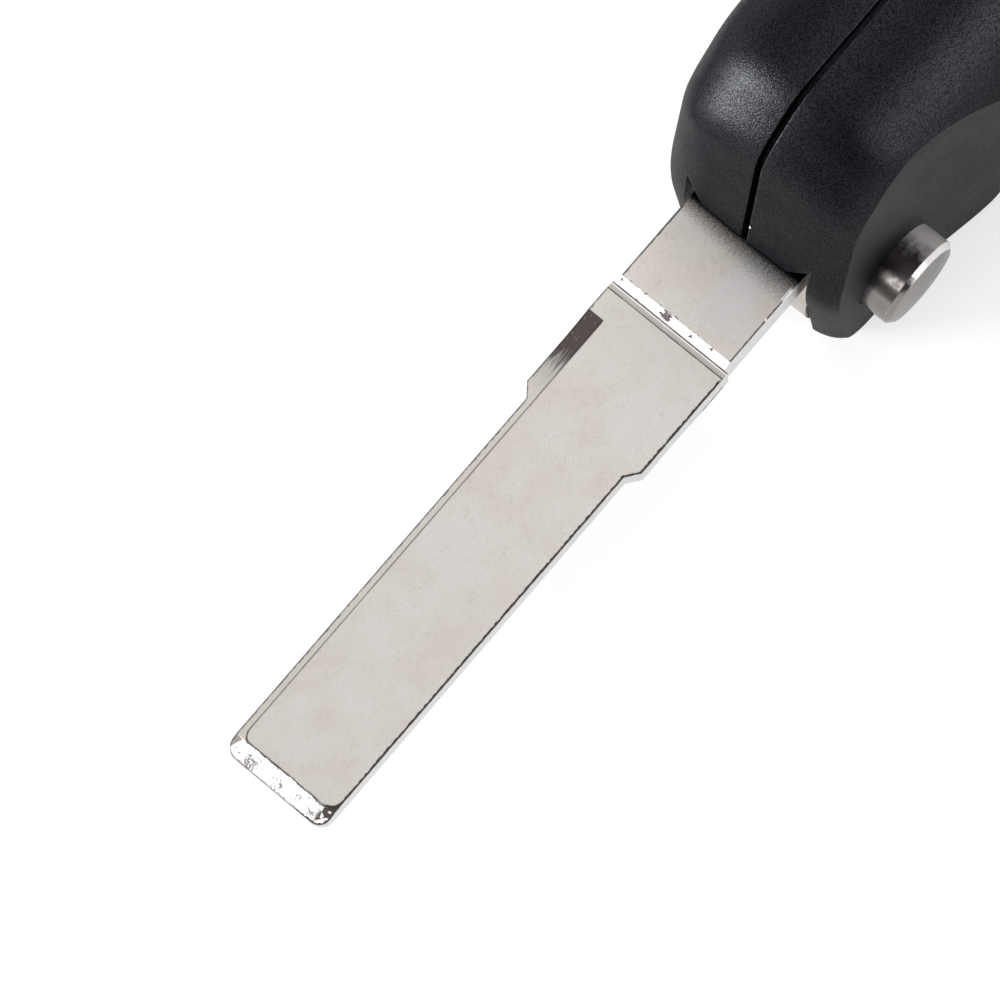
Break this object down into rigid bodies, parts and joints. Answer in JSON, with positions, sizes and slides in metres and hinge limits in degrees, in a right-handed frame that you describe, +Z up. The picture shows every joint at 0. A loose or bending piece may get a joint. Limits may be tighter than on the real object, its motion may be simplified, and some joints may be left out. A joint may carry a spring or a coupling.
{
  "type": "flip remote key",
  "caption": "Car flip key: flat uncut laser blade folding from a slim remote case on a spring hub with a side release button.",
  "frame": {"origin": "middle of the open key's box, on the surface that the lips of the blade slot stand on", "axes": "+X along the open blade to its tip, +Y out of the side with the buttons, +Z up from the blade slot"},
  "size_m": [0.1163, 0.018, 0.0311],
  "materials": {
    "case": "fine-grained satin black",
    "blade": "satin nickel plated steel",
    "hub": "nickel plated zinc casting",
    "pin": "spring steel roll pin",
    "spring": "spring steel wire",
    "release": "satin chrome",
    "keys": "soft-touch black",
    "keypad": "grey silicone",
    "board": "green solder mask",
    "switch": "light moulded body",
    "chip": "black moulding compound",
    "shield": "tinned steel can",
    "ferrite": "ferrite bobbin",
    "led": "red lens",
    "light_pipe": "clear red",
    "cell": "stainless can",
    "contact": "nickel plated spring strip",
    "transponder": "carbon-filled block",
    "screw": "black oxide steel"
  },
  "bodies": {
    "case": {"front_shell": "case", "back_shell": "case", "keypad": "keypad", "circuit_board": "board", "lock_switch": "switch", "unlock_switch": "switch", "trunk_switch": "switch", "controller_chip": "chip", "radio_module": "shield", "crystal": "shield", "antenna_coil": "ferrite", "led": "led", "light_pipe": "light_pipe", "coin_cell": "cell", "minus_contact": "contact", "plus_contact": "contact", "transponder_chip": "transponder", "front_screw": "screw", "rear_screw": "screw"},
    "blade": {"blade": "blade", "blade_hub": "hub", "blade_pin": "pin", "flip_spring": "spring"},
    "release": {"release_button": "release"},
    "lock": {"lock_button": "keys"},
    "unlock": {"unlock_button": "keys"},
    "trunk": {"trunk_button": "keys"}
  },
  "joints": [
    {"name": "blade_flip", "type": "hinge", "parent": "case", "child": "blade", "pos_m": [0.00585, -0.0007, 0.0075], "axis": [0, 1, 0], "range_deg": [0, 180], "stiffness_Nm_per_rad": 0.012, "springref_deg": -68.75},
    {"name": "release_press", "type": "slide", "parent": "blade", "child": "release", "axis": [0, -1, 0], "range_m": [0, 0.0015], "stiffness_N_per_m": 900, "springref_m": -0.0035, "deforming": ["flip_spring"]},
    {"name": "lock_press", "type": "slide", "parent": "case", "child": "lock", "axis": [0, -1, 0], "range_m": [0, 0.0008], "stiffness_N_per_m": 1800, "springref_m": -0.0006, "deforming": ["keypad"]},
    {"name": "unlock_press", "type": "slide", "parent": "case", "child": "unlock", "axis": [0, -1, 0], "range_m": [0, 0.0008], "stiffness_N_per_m": 1800, "springref_m": -0.0006, "deforming": ["keypad"]},
    {"name": "trunk_press", "type": "slide", "parent": "case", "child": "trunk", "axis": [0, -1, 0], "range_m": [0, 0.0008], "stiffness_N_per_m": 1800, "springref_m": -0.0006, "deforming": ["keypad"]}
  ]
}
